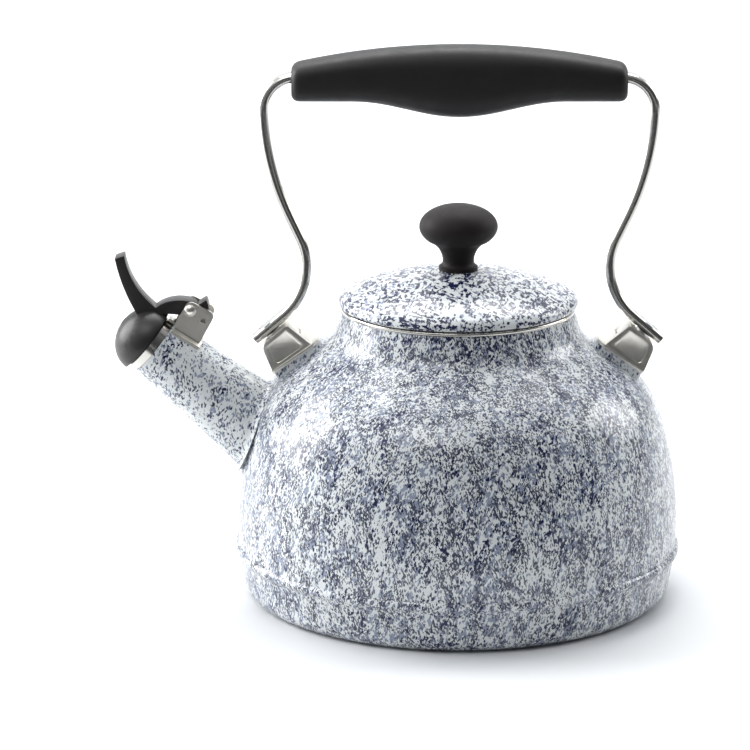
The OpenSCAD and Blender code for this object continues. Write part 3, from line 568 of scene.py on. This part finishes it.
def moulded(name, colour, rough_low, rough_high, grain, bump_strength, scuffs=0.0, gloss=0.5):
    """Moulded plastic: a fine pebbled skin, uneven sheen, and faint pale rub marks."""
    mat, tree, shader = material(name)
    links = tree.links
    where = node(tree, "ShaderNodeTexCoord", (-1000, 0))
    skin = node(tree, "ShaderNodeTexNoise", (-800, 0), Scale=grain, Detail=3.0, Roughness=0.6)
    links.new(where.outputs["Object"], skin.inputs["Vector"])
    wear = node(tree, "ShaderNodeTexNoise", (-800, -300), Scale=grain * 0.06, Detail=6.0, Roughness=0.7)
    links.new(where.outputs["Object"], wear.inputs["Vector"])
    rough = node(tree, "ShaderNodeMapRange", (-500, -150))
    rough.inputs["From Min"].default_value = 0.3
    rough.inputs["From Max"].default_value = 0.7
    rough.inputs["To Min"].default_value = rough_low
    rough.inputs["To Max"].default_value = rough_high
    links.new(wear.outputs["Fac"], rough.inputs["Value"])
    links.new(rough.outputs[0], shader.inputs["Roughness"])
    marks = node(tree, "ShaderNodeMapRange", (-500, -450))
    marks.inputs["From Min"].default_value = 0.60
    marks.inputs["From Max"].default_value = 0.80
    marks.inputs["To Max"].default_value = scuffs
    links.new(wear.outputs["Fac"], marks.inputs["Value"])
    shade = node(tree, "ShaderNodeMix", (-250, 100), data_type="RGBA")
    shade.inputs[MIX_A].default_value = (*colour, 1)
    shade.inputs[MIX_B].default_value = (*[min(1, c * 2.6 + 0.02) for c in colour], 1)
    links.new(marks.outputs[0], shade.inputs[0])
    links.new(shade.outputs[MIX_OUT], shader.inputs["Base Color"])
    bump = node(tree, "ShaderNodeBump", (-250, -300), Strength=bump_strength, Distance=0.0003)
    links.new(skin.outputs["Fac"], bump.inputs["Height"])
    links.new(bump.outputs[0], shader.inputs["Normal"])
    shader.inputs["IOR"].default_value = 1.45
    shader.inputs["Specular IOR Level"].default_value = gloss
    return mat


def head_at(degrees):
    """A point on the oval outline of the knob's head."""
    return (knob_r * math.cos(math.radians(degrees)), knob_mid + knob_half * math.sin(math.radians(degrees)))


head_start = -40
head_steps = 26
head_low = head_at(head_start)
waist_h = 3.2 * MM
foot_edge = 1.2 * MM
foot_sink = 0.9 * MM


def sweep(out, along):
    """Radius of a hollow curve that is upright at the waist and ends out and along from it."""
    return (out**2 + along**2) / (2 * out)


foot_sweep = sweep(foot_r - waist_r, waist_h - foot_edge)
neck_sweep = sweep(head_low[0] - waist_r, head_low[1] - waist_h)
foot_turn = math.degrees(math.asin((waist_h - foot_edge) / foot_sweep))
neck_turn = math.degrees(math.asin((head_low[1] - waist_h) / neck_sweep))
waist = (
    arc((waist_r + foot_sweep, waist_h), foot_sweep, 180 + foot_turn, 180, 6)
    + arc((waist_r + neck_sweep, waist_h), neck_sweep, 180, 180 - neck_turn, 10)[1:]
)
head = [head_at(head_start + (90 - head_start) * i / head_steps) for i in range(1, head_steps + 1)]
foot = [(0, -foot_sink), (foot_r * 0.9, -foot_sink), (foot_r, -0.3 * MM), (foot_r, 0.7 * MM)]
knob_line = foot + waist + head
knob = turn("lid_knob_moulded", [(r, z + lid_top) for r, z in knob_line], 96)
knob_mat = moulded("knob_plastic", (0.014, 0.011, 0.010), 0.50, 0.68, 1800, 0.14, 0.5, 0.25)
knob.data.materials.append(knob_mat)
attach(knob, "lid")
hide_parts("lid_knob")

# ---- Grip ----
# A solid moulded grip of satin black plastic, arched along its top with a finger swell under its
# middle, slipped over the ends of both bars. The top is left plain.
bar_half_t = 3.7 / 2 * MM
bar_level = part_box("grip_screws")[1][2] - bar_half_t
grip_end_top = 4.9 * MM
grip_rise = 7 * MM
grip_foot = 9 * MM
grip_swell = 5.9 * MM
grip_half_w = 10.5 * MM
end_narrowing = 2 * MM
grip_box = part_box("grip")
grip_end = grip_box[1][0]
swell_reach = grip_end * 0.63


def grip_top(x):
    return bar_level + grip_end_top + grip_rise * (1 - (x / grip_end) ** 2)


def grip_low(x):
    swell = grip_swell * math.cos(math.pi / 2 * x / swell_reach) ** 2 if abs(x) < swell_reach else 0
    return bar_level - grip_foot - swell


# Places along the grip, from one end to the other, and how full its section is at each.
stations = [(0.0, 0.72), (0.35, 0.82), (1.0, 0.92), (1.9, 0.98), (3.0, 1.0)]
stations = [(-grip_end + a * MM, b) for a, b in stations]
middle = [(-grip_end + (2 * grip_end) * i / 44, 1.0) for i in range(2, 43)]
stations = stations + middle + [(-x, k) for x, k in stations[::-1]]
around = 64
fresh()
bpy.ops.mesh.primitive_circle_add(vertices=around, radius=10 * MM, rotation=(0, math.radians(90), 0))
grip = bpy.context.object
grip.name = "grip_moulded"
bpy.ops.object.transform_apply(location=True, rotation=True, scale=True)
bpy.ops.object.mode_set(mode="EDIT")
bpy.ops.mesh.select_all(action="SELECT")
for _ in stations[1:]:
    bpy.ops.mesh.extrude_edges_move(TRANSFORM_OT_translate={"value": (2 * MM, 0, 0)})
fresh()
squareness = 2 / 2.9
for i, vertex in enumerate(grip.data.vertices):
    ring, step = divmod(i, around)
    x, full = stations[ring]
    angle = 2 * math.pi * step / around
    half_w = (grip_half_w - end_narrowing * (x / grip_end) ** 2) * full
    mid = (grip_top(x) + grip_low(x)) / 2
    half_h = (grip_top(x) - grip_low(x)) / 2 * full
    c, s = math.cos(angle), math.sin(angle)
    vertex.co = (
        x,
        half_w * math.copysign(abs(c) ** squareness, c),
        mid + half_h * math.copysign(abs(s) ** squareness, s),
    )
grip.select_set(True)
bpy.context.view_layer.objects.active = grip
bpy.ops.object.mode_set(mode="EDIT")
bpy.ops.mesh.select_mode(type="EDGE")
bpy.ops.mesh.select_all(action="DESELECT")
bpy.ops.mesh.select_non_manifold()
bpy.ops.mesh.edge_face_add()
bpy.ops.mesh.select_all(action="SELECT")
bpy.ops.mesh.normals_make_consistent(inside=False)
fresh()
grip.select_set(True)
bpy.ops.object.shade_smooth_by_angle(angle=math.radians(40))
grip_mat = moulded("grip_plastic", (0.008, 0.0075, 0.0075), 0.48, 0.62, 2400, 0.12, 0.15)
grip.data.materials.append(grip_mat)
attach(grip, "kettle")
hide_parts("grip")

# ---- Steel bars, brackets, clip and small fittings ----
# Bars bent from stainless strip, folded brackets on enamelled lugs, the hinge clip and its rivet,
# the neck ring and collar, and the fasteners. The brackets get finely rounded edges, and the rest
# keep the CAD's shape.


def steel(name, colour, rough_low, rough_high, grain, stretch=(1, 1, 1)):
    """Polished sheet steel: fine drawn lines, a little waviness and slightly uneven polish."""
    mat, tree, shader = material(name)
    links = tree.links
    where = node(tree, "ShaderNodeTexCoord", (-1000, 0))
    mapping = node(tree, "ShaderNodeMapping", (-800, 0))
    mapping.inputs["Scale"].default_value = stretch
    links.new(where.outputs["Object"], mapping.inputs["Vector"])
    lines = node(tree, "ShaderNodeTexNoise", (-600, 0), Scale=grain, Detail=4.0, Roughness=0.6)
    links.new(mapping.outputs[0], lines.inputs["Vector"])
    cloud = node(tree, "ShaderNodeTexNoise", (-600, -300), Scale=140.0, Detail=3.0)
    links.new(where.outputs["Object"], cloud.inputs["Vector"])
    rough = node(tree, "ShaderNodeMapRange", (-300, -100))
    rough.inputs["To Min"].default_value = rough_low
    rough.inputs["To Max"].default_value = rough_high
    links.new(cloud.outputs["Fac"], rough.inputs["Value"])
    links.new(rough.outputs[0], shader.inputs["Roughness"])
    tint = node(tree, "ShaderNodeMix", (-300, 150), data_type="RGBA")
    tint.inputs[MIX_A].default_value = (*[c * 0.86 for c in colour], 1)
    tint.inputs[MIX_B].default_value = (*colour, 1)
    links.new(lines.outputs["Fac"], tint.inputs[0])
    links.new(tint.outputs[MIX_OUT], shader.inputs["Base Color"])
    bump = node(tree, "ShaderNodeBump", (-300, -350), Strength=0.05, Distance=0.0002)
    links.new(lines.outputs["Fac"], bump.inputs["Height"])
    links.new(bump.outputs[0], shader.inputs["Normal"])
    shader.inputs["Metallic"].default_value = 1.0
    return mat


def finished(node_name, mat, edge=0.0, angle=35, body=None):
    """Gives a CAD node its material or, with an edge size, replaces it by a copy with rounded edges."""
    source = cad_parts[node_name]
    if edge == 0:
        source.data.materials.clear()
        source.data.materials.append(mat)
        return source
    piece = source.copy()
    piece.data = source.data.copy()
    piece.name = node_name + "_finished"
    piece.parent = None
    piece.matrix_world.identity()
    bpy.context.scene.collection.objects.link(piece)
    fresh()
    piece.select_set(True)
    bpy.context.view_layer.objects.active = piece
    bpy.ops.object.mode_set(mode="EDIT")
    bpy.ops.mesh.select_all(action="SELECT")
    bpy.ops.mesh.remove_doubles(threshold=1e-6)
    bpy.ops.mesh.select_all(action="SELECT")
    bpy.ops.mesh.dissolve_limited(angle_limit=math.radians(0.5))
    fresh()
    piece.select_set(True)
    bevel = piece.modifiers.new("edges", "BEVEL")
    bevel.width = edge
    bevel.segments = 2
    bevel.limit_method = "ANGLE"
    bevel.angle_limit = math.radians(angle)
    bpy.ops.object.modifier_apply(modifier="edges")
    bpy.ops.object.shade_smooth_by_angle(angle=math.radians(32))
    piece.data.materials.clear()
    piece.data.materials.append(mat)
    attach(piece, body)
    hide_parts(node_name)
    return piece


bar_steel = steel("bar_steel", (0.60, 0.585, 0.55), 0.14, 0.24, 900, (1, 1, 0.15))
plate_steel = steel("clip_plate", (0.90, 0.87, 0.80), 0.24, 0.36, 700)
ring_steel = steel("ring_steel", (0.66, 0.64, 0.60), 0.12, 0.22, 900, (0.2, 0.2, 1))
plain_steel = steel("fastener_steel", (0.62, 0.62, 0.63), 0.22, 0.34, 1200)
brass = steel("reed_brass", (0.80, 0.60, 0.27), 0.22, 0.34, 900)
small_edge = 0.35 * MM

for side in ("front", "rear"):
    finished(side + "_bracket", plate_steel, small_edge, body="kettle")
    finished(side + "_arm", bar_steel)
    finished(side + "_lug", spout_enamel)
finished("hinge_clip", plate_steel)
finished("hinge_rivet", plate_steel)
finished("neck_ring", ring_steel)
finished("lid_skirt", ring_steel)
finished("spout_collar", ring_steel)
for name in ("bracket_spacers", "bracket_screws", "grip_screws", "knob_screw", "knob_washer"):
    finished(name, plain_steel)
for name in ("cap_spring", "whistle_housing"):
    finished(name, plain_steel)
for name in ("knob_insert", "reed_plate", "reeds"):
    finished(name, brass)

# ---- Whistle cap ----
# Moulded black plastic with finely rounded edges, over a dark silicone seal. The housing and the
# reeds inside it are with the small fittings above.
cap_mat = moulded("cap_plastic", (0.022, 0.020, 0.019), 0.30, 0.42, 2200, 0.10, 0.2)
seal_mat = moulded("seal_silicone", (0.02, 0.02, 0.02), 0.55, 0.70, 1500, 0.15)
finished("whistle_cap", cap_mat, small_edge, body="whistle")
finished("cap_seal", seal_mat)
